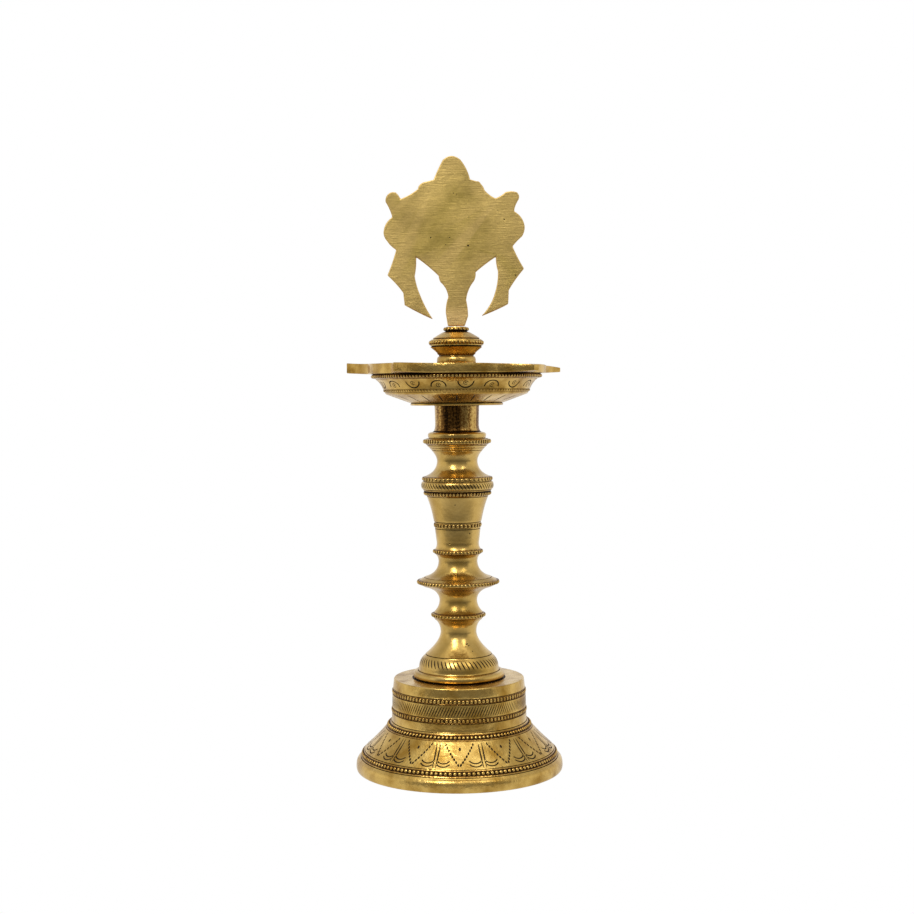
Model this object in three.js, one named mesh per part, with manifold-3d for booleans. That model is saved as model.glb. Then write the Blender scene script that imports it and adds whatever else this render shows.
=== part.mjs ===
// A standing brass oil lamp: a hollow foot, a turned pillar in two lengths, a dish with five wick
// beaks, and a flat cast finial, each screwed into the piece below it. Millimetres, +Z up, the
// origin on the lamp's axis at the plane the foot stands on, the finial's flat face towards -Y.
import * as THREE from 'three';
import { mergeVertices } from 'three/addons/utils/BufferGeometryUtils.js';
import Module from 'manifold-3d';

const wasm = await Module();
wasm.setup();

// ---------------------------------------------------------------- driving dimensions
const SIDES = 32; // facets around a turned piece
const STUD_SIDES = 16;
const CURVE_STEPS = 3; // points along each curve of a turned outline
const SEAT_GAP = 0.2; // between two pieces that rest on each other
const CUT_GAP = 0.3; // around anything that sits inside another piece

const FOOT_RADIUS = 64.1;
const FOOT_WALL = 3.5;
const DRUM_TOP = 56.4; // the pillar stands here
const PILLAR_SPLIT = 172.3; // lower and upper pillar meet here
const COLLAR_TOP = 209.3; // the dish's socket stands here
const DISH_BOTTOM = 225.6;
const RIM_BOTTOM = 245.3;
const RIM_TOP = 251;
const BOSS_TOP = 250; // the finial stands here, inside the dish
const KNOB_TOP = 274.4;
const PLATE_THICKNESS = 3.6;

const PILLAR_SCREW_RADIUS = 5; // M10, as a plain stud
const FINIAL_SCREW_RADIUS = 3; // M6, as a plain stud
const SCREW_REACH = 12; // how deep a stud goes into the piece below it

const BEAK_ANGLES = [-102, -30, 42, 114, 186]; // degrees round from -Y, towards +X
const BEAK_REACH = [70.5, 70.5, 70.5, 72, 68.4]; // filed by hand, so no two alike
const BEAK_HALF_WIDTH = 1.9; // at the tip
const CREASE_ANGLE = 15.5; // from a beak's middle line to the crease beside it
const CREASE_RADIUS = 55;
const RIM_WALL = 2.2;
const BEAK_FLOOR = 247.4;
const BEAK_RISE = 0.8; // of a beak's underside, at its tip

// ---------------------------------------------------------------- materials
const brass = {
  cast: new THREE.MeshStandardMaterial({ color: 0xb08d3e, metalness: 1, roughness: 0.36 }),
  turned: new THREE.MeshStandardMaterial({ color: 0xb8963f, metalness: 1, roughness: 0.28 }),
  filed: new THREE.MeshStandardMaterial({ color: 0xb39a52, metalness: 1, roughness: 0.42 }),
  screw: new THREE.MeshStandardMaterial({ color: 0xa98a45, metalness: 1, roughness: 0.4 }),
};

// ---------------------------------------------------------------- outlines
// A turned outline in radius and height, drawn with the metal on its left.
class Turning {
  constructor(r, z) {
    this.path = new THREE.Path();
    this.path.moveTo(r, z);
  }

  to(r, z) {
    this.path.lineTo(r, z);
    return this;
  }

  // a curve to (r, z), pulled towards (pullR, pullZ)
  sweep(r, z, pullR, pullZ) {
    this.path.quadraticCurveTo(pullR, pullZ, r, z);
    return this;
  }

  // a half-round ring up to (r, z) that stands out to its crown's radius
  ring(r, z, crown) {
    const { x, y } = this.path.currentPoint;
    const height = z - y;
    return this.to(crown - (crown - x) * 0.3, y + height * 0.16).to(crown, y + height / 2)
      .to(crown - (crown - r) * 0.3, z - height * 0.16).to(r, z);
  }

  // back to the first point, for a piece with a hole right through it
  close() {
    const first = this.path.curves[0].getPoint(0);
    return this.to(first.x, first.y);
  }

  geometry(sides = SIDES) {
    const points = this.path.getPoints(CURVE_STEPS);
    return new THREE.LatheGeometry(points, sides).rotateX(Math.PI / 2);
  }
}

// An outline of corners [x, y, bulge]: each edge is an arc that stands out by its bulge to the
// left of the way it is drawn, or a straight line where the bulge is 0.
function arcOutline(corners, stepsPerArc) {
  const points = [];
  corners.forEach(([x, y, bulge], i) => {
    const [fromX, fromY] = corners[(i + corners.length - 1) % corners.length];
    const steps = bulge ? stepsPerArc : 1;
    for (let step = 1; step <= steps; step += 1) {
      const t = step / steps;
      const out = 4 * bulge * t * (1 - t);
      const length = Math.hypot(x - fromX, y - fromY);
      points.push(new THREE.Vector2(
        fromX + (x - fromX) * t - ((y - fromY) / length) * out,
        fromY + (y - fromY) * t + ((x - fromX) / length) * out,
      ));
    }
  });
  return points;
}

// ---------------------------------------------------------------- solids
function solid(geometry) {
  const bare = geometry.index ? geometry.toNonIndexed() : geometry;
  bare.deleteAttribute('normal');
  bare.deleteAttribute('uv');
  const merged = mergeVertices(bare, 1e-4);
  return new wasm.Manifold(new wasm.Mesh({
    numProp: 3,
    vertProperties: merged.attributes.position.array,
    triVerts: new Uint32Array(merged.index.array),
  }));
}

function geometryOf(manifold) {
  const mesh = manifold.getMesh();
  const geometry = new THREE.BufferGeometry();
  geometry.setAttribute('position', new THREE.BufferAttribute(mesh.vertProperties, mesh.numProp));
  geometry.setIndex(new THREE.BufferAttribute(mesh.triVerts, 1));
  return geometry;
}

function rod(radius, low, high, sides = 20) {
  return new THREE.CylinderGeometry(radius, radius, high - low, sides)
    .rotateX(Math.PI / 2).translate(0, 0, (low + high) / 2);
}

function block(width, depth, low, high) {
  return new THREE.BoxGeometry(width, depth, high - low).translate(0, 0, (low + high) / 2);
}

// ---------------------------------------------------------------- foot
// A bell-shaped foot with a drum on it, cast hollow, with a bored boss under the drum's top.
function footGeometry() {
  const hole = PILLAR_SCREW_RADIUS + CUT_GAP;
  const outside = new Turning(hole, DRUM_TOP - 15)
    .to(11, DRUM_TOP - 15).to(11.6, DRUM_TOP - FOOT_WALL)
    .to(36.6, DRUM_TOP - FOOT_WALL).to(38, 30)
    .sweep(55, 10, 47, 20).to(60, 6).to(60.6, 0)
    .to(FOOT_RADIUS - 0.8, 0).sweep(FOOT_RADIUS, 2.4, FOOT_RADIUS, 0.6)
    .sweep(61.6, 8, FOOT_RADIUS, 7.2) // rounded tread
    .to(60.7, 8.6).ring(59, 12, 61.6) // beaded ring
    .sweep(45, 26.4, 52.1, 18.9) // bell, where the panels are
    .ring(42.2, 30, 45.2) // beaded ring under the drum
    .to(41.8, 35).to(42.3, 37.2).to(41.7, 39)
    .to(41.5, 46.8).to(42, 48.5).to(41.2, 50.3)
    .to(40.4, DRUM_TOP - 0.6).to(39.8, DRUM_TOP)
    .to(hole, DRUM_TOP).close();
  return outside.geometry();
}

// ---------------------------------------------------------------- pillar
function lowerPillarGeometry() {
  const hole = PILLAR_SCREW_RADIUS + CUT_GAP;
  const seat = DRUM_TOP + SEAT_GAP;
  return new Turning(0, DRUM_TOP + SCREW_REACH + 1).to(hole, DRUM_TOP + SCREW_REACH + 1)
    .to(hole, seat).to(26.4, seat)
    .ring(25.4, 61, 28.3).to(24.9, 61.8) // foot torus and its groove
    .sweep(20.4, 70.6, 24.9, 67.6) // dome
    .sweep(11.15, 84.7, 11.6, 78.2) // first waist
    .sweep(14.9, 92.8, 11.15, 90.2)
    .ring(15.4, 97.2, 16.9) // small beaded ring
    .sweep(11.7, 104.6, 11.7, 100)
    .sweep(23.6, 114.3, 12.1, 111.4) // under the flange
    .ring(23.4, 117.6, 25.6) // the flange's beaded edge
    .sweep(12.1, 128.4, 12.4, 121)
    .sweep(14.2, 133, 12.1, 131.6)
    .ring(13.8, 137, 15.6) // beaded ring under the cup
    .sweep(13.9, 147, 12.6, 140)
    .to(14.3, 149.4).ring(14.6, 153.2, 15.2) // beaded ring low on the cup
    .sweep(19.2, 169, 16.4, 162.5).to(19.1, 169.5)
    .ring(21.2, PILLAR_SPLIT, 21.4) // beaded lip of the cup
    .to(hole, PILLAR_SPLIT).to(hole, PILLAR_SPLIT - SCREW_REACH - 1)
    .to(0, PILLAR_SPLIT - SCREW_REACH - 1).geometry();
}

function upperPillarGeometry() {
  const hole = PILLAR_SCREW_RADIUS + CUT_GAP;
  const seat = PILLAR_SPLIT + SEAT_GAP;
  return new Turning(0, PILLAR_SPLIT + SCREW_REACH + 1).to(hole, PILLAR_SPLIT + SCREW_REACH + 1)
    .to(hole, seat).to(21.4, seat).to(21.4, 173.5)
    .ring(21.7, 178.2, 22.6) // broad band of slanted cuts
    .ring(20.2, 181.6, 22) // rope band above it
    .sweep(12.6, 190.8, 12.8, 184.2)
    .sweep(19.3, 201.4, 12.6, 195.4)
    .ring(19, 205, 21.3).to(18, 205.4) // beaded ring
    .ring(14.9, COLLAR_TOP, 18.1) // collar
    .to(hole, COLLAR_TOP).to(hole, COLLAR_TOP - SCREW_REACH - 1)
    .to(0, COLLAR_TOP - SCREW_REACH - 1).geometry();
}

// A stud for the foot of one piece, which reaches down into the piece below.
function studGeometry(radius, seat, up) {
  const low = seat - SCREW_REACH + CUT_GAP;
  const chamfer = radius * 0.2;
  return new Turning(0, low).to(radius - chamfer, low).to(radius, low + chamfer)
    .to(radius, seat + up - chamfer).to(radius - chamfer, seat + up).to(0, seat + up)
    .geometry(STUD_SIDES);
}

// ---------------------------------------------------------------- dish
function socketGeometry() {
  const hole = PILLAR_SCREW_RADIUS + CUT_GAP;
  const low = COLLAR_TOP + SEAT_GAP;
  const high = DISH_BOTTOM - SEAT_GAP;
  return new Turning(hole, low).to(14.8, low)
    .sweep(13.6, 214, 13.6, 211).to(13.9, 223.6).to(14.1, high)
    .to(hole, high).close().geometry();
}

// The dish's outline from above: five pointed beaks with a round lobe between each two. Inset
// moves it inwards, for the inner face of the rim.
function rimOutline(inset) {
  const halfPitch = 180 / BEAK_ANGLES.length;
  const halfTip = Math.max(BEAK_HALF_WIDTH - inset * 0.4, 0.9);
  const halfThroat = Math.max(6 - inset, 3); // where the two flanks of a beak would meet
  const points = [];
  BEAK_ANGLES.forEach((angle, i) => {
    const turn = THREE.MathUtils.degToRad(angle - 90);
    const place = (along, across) => new THREE.Vector2(along, across)
      .rotateAround(new THREE.Vector2(), turn).toArray();
    const polar = (radius, degrees) => {
      const a = THREE.MathUtils.degToRad(degrees);
      return place(radius * Math.cos(a), radius * Math.sin(a));
    };
    const crease = CREASE_RADIUS - inset;
    const lobePull = (CREASE_ANGLE + halfPitch) / 2;
    const outline = new THREE.Path();
    outline.moveTo(...polar(crease + 1, -halfPitch));
    outline.quadraticCurveTo(...polar(crease + 1.4, -lobePull), ...polar(crease, -CREASE_ANGLE));
    outline.quadraticCurveTo(...place(crease + 5, -halfThroat), ...place(BEAK_REACH[i] - inset, -halfTip));
    outline.lineTo(...place(BEAK_REACH[i] - inset, halfTip));
    outline.quadraticCurveTo(...place(crease + 5, halfThroat), ...polar(crease, CREASE_ANGLE));
    outline.quadraticCurveTo(...polar(crease + 1.4, lobePull), ...polar(crease + 1, halfPitch));
    points.push(...outline.getPoints(4).slice(0, -1));
  });
  return points;
}

function prism(points, low, high) {
  return new THREE.ExtrudeGeometry(new THREE.Shape(points), {
    depth: high - low, bevelEnabled: false, steps: 1,
  }).translate(0, 0, low);
}

function dishGeometry() {
  const bowl = solid(new Turning(0, DISH_BOTTOM).to(28.6, DISH_BOTTOM)
    .to(29.2, 226.8).to(30.4, 227.4).to(43.9, 232.6).to(44.9, 233.4)
    .sweep(50.4, 242, 46.4, 239).to(52, 242.5).to(53, 244.4).to(52, RIM_BOTTOM + 0.5)
    .to(0, RIM_BOTTOM + 0.5).geometry());
  // the beaks' undersides rise a little towards their tips
  const underside = solid(new Turning(0, RIM_BOTTOM).to(55, RIM_BOTTOM)
    .to(74, RIM_BOTTOM + BEAK_RISE).to(74, RIM_TOP).to(0, RIM_TOP).geometry());
  const star = solid(prism(rimOutline(0), RIM_BOTTOM - 1, RIM_TOP + 1));
  const well = solid(new Turning(0, 229.6).to(29, 229.6).to(41.4, 234.8)
    .sweep(49.6, 247, 44.4, 240).to(49.6, RIM_TOP + 2).to(0, RIM_TOP + 2).geometry());
  const troughs = solid(prism(rimOutline(RIM_WALL), BEAK_FLOOR, RIM_TOP + 2));
  const boss = solid(new Turning(0, 228.6).to(13, 228.6).to(13, 230)
    .sweep(11, 234, 11, 230.6).to(11, BOSS_TOP - 0.8).to(10.4, BOSS_TOP).to(0, BOSS_TOP).geometry());
  const screwHole = solid(rod(PILLAR_SCREW_RADIUS + CUT_GAP, DISH_BOTTOM - 2, DISH_BOTTOM + 7));
  const finialHole = solid(rod(
    FINIAL_SCREW_RADIUS + CUT_GAP, BOSS_TOP - SCREW_REACH - 0.6, BOSS_TOP + 2,
  ));
  return geometryOf(bowl.add(underside.intersect(star))
    .subtract(well).subtract(troughs).add(boss)
    .subtract(screwHole).subtract(finialHole));
}

// ---------------------------------------------------------------- finial
const TANG_WIDTH = 7;
const TANG_LOW = KNOB_TOP - 5.6;

function knobGeometry() {
  const hole = FINIAL_SCREW_RADIUS + CUT_GAP;
  const low = BOSS_TOP + SEAT_GAP;
  const turned = solid(new Turning(0, low + SCREW_REACH).to(hole, low + SCREW_REACH)
    .to(hole, low).to(11.4, low)
    .ring(10.9, 256.4, 12.2) // foot ring
    .sweep(16.4, 262, 12.4, 259).ring(15.2, 267, 17.3) // widest band
    .sweep(8.6, 271.4, 11, 269.4)
    .ring(7.4, KNOB_TOP, 8.4) // rope ring under the plate
    .to(0, KNOB_TOP).geometry());
  const slot = solid(block(
    TANG_WIDTH + 2 * CUT_GAP, PLATE_THICKNESS + 2 * CUT_GAP, TANG_LOW - CUT_GAP, KNOB_TOP + 2,
  ));
  return geometryOf(turned.subtract(slot));
}

// The plate's outline, seen from its flat face: a crest, two shoulders, a flame and a lobe at
// each side, two hanging ribbons, and a stem. Each edge bulges outwards, or inwards if negative.
const PLATE_OUTLINE = [
  [-7.6, 378.4, 0.2], [3.4, 378.6, 2.4], [9.4, 366.2, 0.8], // crest
  [13.4, 365, 0], [16, 363.4, 0.6], [18.4, 359.4, 0.3], [25.1, 354.3, -0.5], // right shoulder
  [31.2, 358, -0.4], [38.4, 358, 0.6], [39, 352.6, 1.2], [36.7, 346.1, -0.4], // right flame
  [43.2, 336.8, 1.4], [41.6, 330.6, 0.5], [35.5, 324.3, -0.2], // right lobe
  [42.6, 310.3, -0.3], [33, 297, -0.4], [32.6, 288.4, 0], [15.8, 281, 0.3], // right ribbon
  [24.6, 296.4, -1.2], [26.3, 309, -0.5], [25.1, 317.9, 0.4], // its inner edge
  [12.4, 308.4, -0.3], [11.4, 303, 0.4], [6.4, 291, -1], [7.5, 281, 0.3], [5.4, 274.9, 0], // stem
  [-5.2, 274.9, 0], [-6.4, 283, 0], [-4.8, 293.1, 0.5], [-9.5, 302.3, -1], [-10.6, 306.2, 0.3],
  [-24.6, 318, -0.4], // left of the stem
  [-25.6, 306.2, 0.4], [-22.2, 294.3, -0.4], [-14.4, 279.2, -0.5], // left ribbon's inner edge
  [-32, 288.2, 0.3], [-32.8, 295.8, 0], [-42.6, 306.8, -0.4], [-37, 322.7, -0.3], // left ribbon
  [-42.8, 328.4, 0.5], [-44.8, 333.8, 0.6], [-39.3, 343, 1.3], // left lobe
  [-43.4, 352.6, -0.4], [-40.6, 358.2, 1], [-37, 358.4, 0.3], [-34, 354.3, 0.3], // left flame
  [-23.2, 360.4, -0.5], [-21.4, 363.6, 0.4], [-17.8, 365, 0.3], [-13.4, 366.1, 0], // left shoulder
  [-6.4, 379.4, 1.9],
];

function plateGeometry() {
  const outline = arcOutline(PLATE_OUTLINE.slice(0, -1), 3);
  const upright = (geometry) => geometry.rotateX(Math.PI / 2);
  const plate = solid(upright(new THREE.ExtrudeGeometry(new THREE.Shape(outline), {
    depth: PLATE_THICKNESS, bevelEnabled: false, steps: 1,
  })).translate(0, PLATE_THICKNESS / 2, 0));
  const tang = solid(block(TANG_WIDTH, PLATE_THICKNESS, TANG_LOW, KNOB_TOP + 3));
  // the conch stands out of the far face
  const conch = solid(new THREE.SphereGeometry(1, 24, 12).scale(25, 6.5, 22)
    .translate(-1, PLATE_THICKNESS / 2, 338));
  const farSide = solid(new THREE.BoxGeometry(100, 10, 100)
    .translate(0, PLATE_THICKNESS / 2 + 4.4, 330));
  return geometryOf(plate.add(tang).add(conch.intersect(farSide)));
}

// ---------------------------------------------------------------- assembly
const lamp = new THREE.Group();

function add(name, geometry, material) {
  const mesh = new THREE.Mesh(geometry, material);
  mesh.name = name;
  lamp.add(mesh);
}

add('base_casting', footGeometry(), brass.cast);
add('pillar_stud', studGeometry(PILLAR_SCREW_RADIUS, DRUM_TOP, SCREW_REACH), brass.screw);
add('lower_pillar', lowerPillarGeometry(), brass.turned);
add('middle_stud', studGeometry(PILLAR_SCREW_RADIUS, PILLAR_SPLIT, SCREW_REACH), brass.screw);
add('upper_pillar', upperPillarGeometry(), brass.turned);
add('dish_stud', studGeometry(PILLAR_SCREW_RADIUS, COLLAR_TOP, DISH_BOTTOM - COLLAR_TOP + 6), brass.screw);
add('dish_socket', socketGeometry(), brass.turned);
add('dish', dishGeometry(), brass.cast);
add('finial_stud', studGeometry(FINIAL_SCREW_RADIUS, BOSS_TOP, SCREW_REACH - 0.6), brass.screw);
add('finial_knob', knobGeometry(), brass.cast);
add('finial_plate', plateGeometry(), brass.filed);

export default lamp;
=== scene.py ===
"""A standing brass oil lamp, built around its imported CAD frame.

Sizes are in millimetres and in the frame's own axes: +Z up, the lamp's axis at x = y = 0, the
finial's flat face towards -Y. MM turns them into Blender's metres.
"""

import math

import bpy
import numpy as np
from mathutils import Matrix, Vector


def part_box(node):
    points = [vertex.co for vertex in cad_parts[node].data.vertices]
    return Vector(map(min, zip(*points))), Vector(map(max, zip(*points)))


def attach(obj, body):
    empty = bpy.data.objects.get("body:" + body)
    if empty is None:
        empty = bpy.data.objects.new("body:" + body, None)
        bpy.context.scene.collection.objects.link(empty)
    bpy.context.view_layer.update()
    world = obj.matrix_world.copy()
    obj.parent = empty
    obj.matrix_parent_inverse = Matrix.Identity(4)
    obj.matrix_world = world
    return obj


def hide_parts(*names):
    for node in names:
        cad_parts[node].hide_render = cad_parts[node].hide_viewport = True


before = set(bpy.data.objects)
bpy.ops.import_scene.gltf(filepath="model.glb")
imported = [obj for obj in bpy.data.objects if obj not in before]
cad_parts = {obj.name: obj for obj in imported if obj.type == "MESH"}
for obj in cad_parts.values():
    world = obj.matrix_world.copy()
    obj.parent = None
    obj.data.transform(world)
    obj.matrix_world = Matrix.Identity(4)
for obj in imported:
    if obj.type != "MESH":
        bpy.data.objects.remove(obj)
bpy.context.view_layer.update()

MM = 0.001
ROUND = 2 * math.pi
MERGE_DISTANCE = 1e-6
SMOOTH_BELOW = math.radians(32)


# ------------------------------------------------------------------ small helpers
def deselect():
    if bpy.context.object and bpy.context.object.mode != "OBJECT":
        bpy.ops.object.mode_set(mode="OBJECT")
    for other in list(bpy.context.selected_objects):
        other.select_set(False)


def pick(*pieces):
    deselect()
    for piece in pieces:
        piece.select_set(True)
    bpy.context.view_layer.objects.active = pieces[0]


def vertices_of(piece):
    places = np.empty(len(piece.data.vertices) * 3)
    piece.data.vertices.foreach_get("co", places)
    return places.reshape(-1, 3)


def place_vertices(piece, places):
    piece.data.vertices.foreach_set("co", np.asarray(places, float).ravel())
    piece.data.update()


def finish_modifier(piece, kind, **settings):
    """Adds a modifier with its settings and applies it."""
    pick(piece)
    modifier = piece.modifiers.new(kind.lower(), kind)
    for name, value in settings.items():
        setattr(modifier, name, value)
    bpy.ops.object.modifier_apply(modifier=modifier.name)


def joined(name, pieces):
    pick(*pieces)
    if len(pieces) > 1:
        bpy.ops.object.join()
    whole = bpy.context.object
    whole.name = whole.data.name = name
    return whole


# ------------------------------------------------------------------ turned outlines
class Outline:
    """A turned outline in radius and height, drawn upwards along the outside of a piece.

    stains holds the rings where dark patina stays: (radius, height, reach, strength).
    """

    def __init__(self, r, z):
        self.points = [(r, z)]
        self.stains = []

    def to(self, r, z):
        self.points.append((r, z))
        return self

    def sweep(self, r, z, pull_r, pull_z, steps=12):
        """A curve to (r, z), pulled towards (pull_r, pull_z)."""
        r0, z0 = self.points[-1]
        for step in range(1, steps + 1):
            t = step / steps
            a, b, c = (1 - t) ** 2, 2 * t * (1 - t), t * t
            self.points.append((a * r0 + b * pull_r + c * r, a * z0 + b * pull_z + c * z))
        return self

    def ring(self, r, z, crown, steps=8):
        """A half-round ring up to (r, z) that stands out to its crown's radius."""
        r0, z0 = self.points[-1]
        for step in range(1, steps + 1):
            turn = math.pi * step / steps
            up = (1 - math.cos(turn)) / 2
            base = r0 + (r - r0) * up
            self.points.append((base + (crown - base) * math.sin(turn), z0 + (z - z0) * up))
        return self

    def groove(self, r, z, width=0.5, depth=0.3, stain=1.0):
        """A turned line at (r, z), cut square to the way the outline is going."""
        r0, z0 = self.points[-1]
        along = Vector((r - r0, z - z0)).normalized()
        inward = Vector((-along.y, along.x)) * depth
        half = along * width / 2
        self.to(r - half.x, z - half.y).to(r - half.x * 0.3 + inward.x, z - half.y * 0.3 + inward.y)
        self.to(r + half.x * 0.3 + inward.x, z + half.y * 0.3 + inward.y).to(r + half.x, z + half.y)
        self.stains.append((r + inward.x, z + inward.y, width * 0.9, stain))
        return self

    def stain(self, r, z, reach, strength=1.0):
        self.stains.append((r, z, reach, strength))
        return self

    def close(self):
        return self.to(*self.points[0])

    def split(self, longest):
        """The outline's points, with straight runs cut into pieces no longer than longest."""
        points = [self.points[0]]
        for r, z in self.points[1:]:
            r0, z0 = points[-1]
            count = max(1, math.ceil(math.hypot(r - r0, z - z0) / longest))
            points += [(r0 + (r - r0) * i / count, z0 + (z - z0) * i / count)
                       for i in range(1, count + 1)]
        return points

    def along(self, r, z):
        """(lengths, radii, heights, the length at the outline's point nearest to (r, z))."""
        path = np.array(self.points)
        steps = np.hypot(*np.diff(path, axis=0).T)
        keep = np.concatenate([[True], steps > 1e-6])
        path = path[keep]
        lengths = np.concatenate([[0], np.cumsum(np.hypot(*np.diff(path, axis=0).T))])
        fine = np.linspace(0, lengths[-1], 4000)
        radii = np.interp(fine, lengths, path[:, 0])
        heights = np.interp(fine, lengths, path[:, 1])
        nearest = np.argmin(np.hypot(radii - r, heights - z))
        return fine, radii, heights, fine[nearest]

    def wrap(self, stamp, r, z, turn=0.0):
        """Lays a flat stamp (X round the piece, Y up it, Z outwards, in mm) on the turned face
        at (r, z), at an angle of turn from -Y towards +X, and makes it metres."""
        blend = 1.2  # the face's slope is taken over this length to either side
        fine, radii, heights, here = self.along(r, z)
        x, y, out = vertices_of(stamp).T
        at = here + y
        place_r, place_z = np.interp(at, fine, radii), np.interp(at, fine, heights)
        ahead_r, ahead_z = np.interp(at + blend, fine, radii), np.interp(at + blend, fine, heights)
        back_r, back_z = np.interp(at - blend, fine, radii), np.interp(at - blend, fine, heights)
        way_r, way_z = ahead_r - back_r, ahead_z - back_z
        size = np.hypot(way_r, way_z)
        far = place_r + out * way_z / size
        up = place_z - out * way_r / size
        angle = math.radians(turn) + x / r
        place_vertices(stamp, np.stack([far * np.sin(angle), -far * np.cos(angle), up], 1) * MM)
        return stamp


def chain(points):
    """A chain of edges through (x, y, z) points in mm, in edit mode: a vertex, extruded along."""
    deselect()
    start = Vector(points[0]) * MM
    bpy.ops.mesh.primitive_plane_add(size=MM, location=start)
    bpy.ops.object.mode_set(mode="EDIT")
    bpy.ops.mesh.select_all(action="SELECT")
    bpy.ops.mesh.merge(type="CENTER")
    here = start
    for point in points[1:]:
        there = Vector(point) * MM
        bpy.ops.mesh.extrude_region_move(TRANSFORM_OT_translate={"value": there - here})
        here = there


def settle(name):
    """Leaves edit mode with merged doubles, outward normals and the place in the mesh."""
    bpy.ops.mesh.select_all(action="SELECT")
    bpy.ops.mesh.remove_doubles(threshold=MERGE_DISTANCE)
    bpy.ops.mesh.normals_make_consistent(inside=False)
    bpy.ops.object.mode_set(mode="OBJECT")
    bpy.ops.object.transform_apply(location=True, rotation=True, scale=True)
    piece = bpy.context.object
    piece.name = piece.data.name = name
    return piece


def turned(name, outline, sides, longest=1.6):
    """Spins an outline round the lamp's axis."""
    chain([(r, 0, z) for r, z in outline.split(longest)])
    bpy.ops.mesh.select_all(action="SELECT")
    bpy.ops.mesh.spin(steps=sides, angle=ROUND, center=(0, 0, 0), axis=(0, 0, 1))
    return settle(name)


def ring_stain(piece, outline):
    """How much patina stays at each vertex of a turned piece, near its outline's stained rings."""
    x, y, z = (vertices_of(piece) / MM).T
    r = np.hypot(x, y)
    dark = np.zeros(len(r))
    for ring_r, ring_z, reach, strength in outline.stains:
        near = 1 - np.clip(np.hypot(r - ring_r, z - ring_z) / reach, 0, 1)
        dark = np.maximum(dark, strength * np.clip(near * 1.6, 0, 1))
    return dark


def write_stain_and_shade(piece, dark):
    """Writes the patina that the brass materials read as the attribute "stain", and on the dish's sleeve
    painted shade and a painted dark reflection too.
    """
    attribute = piece.data.attributes.new("stain", "FLOAT", "POINT")
    attribute.data.foreach_set("value", np.clip(dark, 0, 1))


# ------------------------------------------------------------------ stamps
def gouge(length, width=0.6, depth=0.38, lean=0.0, at=(0, 0)):
    """A burin cut: a lens that is pressed into the face, leaning from upright by lean degrees."""
    deselect()
    bpy.ops.mesh.primitive_uv_sphere_add(segments=8, ring_count=6, radius=1)
    bpy.ops.object.mode_set(mode="EDIT")
    bpy.ops.mesh.select_all(action="SELECT")
    bpy.ops.transform.resize(value=(width / 2, depth, length / 2))
    bpy.ops.object.mode_set(mode="OBJECT")
    cut = bpy.context.object
    turn = Matrix.Rotation(math.radians(-lean), 4, "Z") @ Matrix.Rotation(math.radians(-90), 4, "X")
    cut.data.transform(Matrix.Translation((*at, 0)) @ turn)
    return cut


def arc_cut(radius, low, high, width=0.6, depth=0.36, at=(0, 0), squash=1.0):
    """A curved cut: a tube bent round from angle low to angle high, in degrees from +X."""
    deselect()
    steps = max(6, int(abs(high - low) / 14))
    bpy.ops.mesh.primitive_circle_add(vertices=6, radius=1, fill_type="NGON", location=(radius, 0, 0),
                                      rotation=(math.pi / 2, 0, 0))
    bpy.ops.object.mode_set(mode="EDIT")
    bpy.ops.mesh.select_all(action="SELECT")
    bpy.ops.transform.resize(value=(width / 2, 1, depth))
    bpy.ops.mesh.spin(steps=steps, angle=math.radians(high - low), center=(0, 0, 0), axis=(0, 0, -1))
    bpy.ops.mesh.select_all(action="SELECT")
    bpy.ops.mesh.normals_make_consistent(inside=False)
    bpy.ops.object.mode_set(mode="OBJECT")
    bpy.ops.object.transform_apply(location=True, rotation=True, scale=True)
    cut = bpy.context.object
    turn = Matrix.Rotation(math.radians(low), 4, "Z")
    cut.data.transform(Matrix.Translation((*at, 0)) @ Matrix.Diagonal((1, squash, 1, 1)) @ turn)
    return cut


def bead(width, height, proud, lean):
    """One bead of a row: an egg that sits half sunk in the face."""
    deselect()
    bpy.ops.mesh.primitive_ico_sphere_add(subdivisions=2, radius=1)
    bpy.ops.object.mode_set(mode="EDIT")
    bpy.ops.mesh.select_all(action="SELECT")
    bpy.ops.transform.resize(value=(width / 2, height / 2, proud))
    bpy.ops.object.mode_set(mode="OBJECT")
    one = bpy.context.object
    one.data.transform(Matrix.Rotation(math.radians(-lean), 4, "Z"))
    write_stain_and_shade(one, 1.15 - 1.5 * np.clip(vertices_of(one)[:, 2] / proud, 0, 1))
    return one


def round_the_lamp(stamp, count):
    """Repeats a stamp count times round the lamp's axis."""
    turn = bpy.data.objects.new("one_step_round", None)
    bpy.context.scene.collection.objects.link(turn)
    turn.rotation_euler = (0, 0, ROUND / count)
    bpy.context.view_layer.update()
    finish_modifier(stamp, "ARRAY", count=count, use_relative_offset=False,
                    use_object_offset=True, offset_object=turn)
    bpy.data.objects.remove(turn)
    return stamp


def bead_row(outline, r, z, count, width, height, proud, lean=0.0):
    return round_the_lamp(outline.wrap(bead(width, height, proud, lean), r, z), count)


def stroke_row(outline, r, z, count, length, lean, width=0.6, depth=0.38):
    return round_the_lamp(outline.wrap(gouge(length, width, depth, lean), r, z), count)


def chase(piece, cuts):
    """Cuts all the stamps out of a piece; the cut faces take the cutters' own material."""
    cutter = joined("cutter", cuts)
    cutter.data.materials.clear()
    cutter.data.materials.append(blackened_cut)
    finish_modifier(piece, "BOOLEAN", operation="DIFFERENCE", object=cutter, solver="MANIFOLD",
                    material_mode="TRANSFER")
    bpy.data.objects.remove(cutter)


# ------------------------------------------------------------------ materials
def linear(hex_colour):
    channels = [int(hex_colour[i:i + 2], 16) / 255 for i in (1, 3, 5)]
    return [c / 12.92 if c <= 0.04045 else ((c + 0.055) / 1.055) ** 2.4 for c in channels] + [1]


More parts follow.
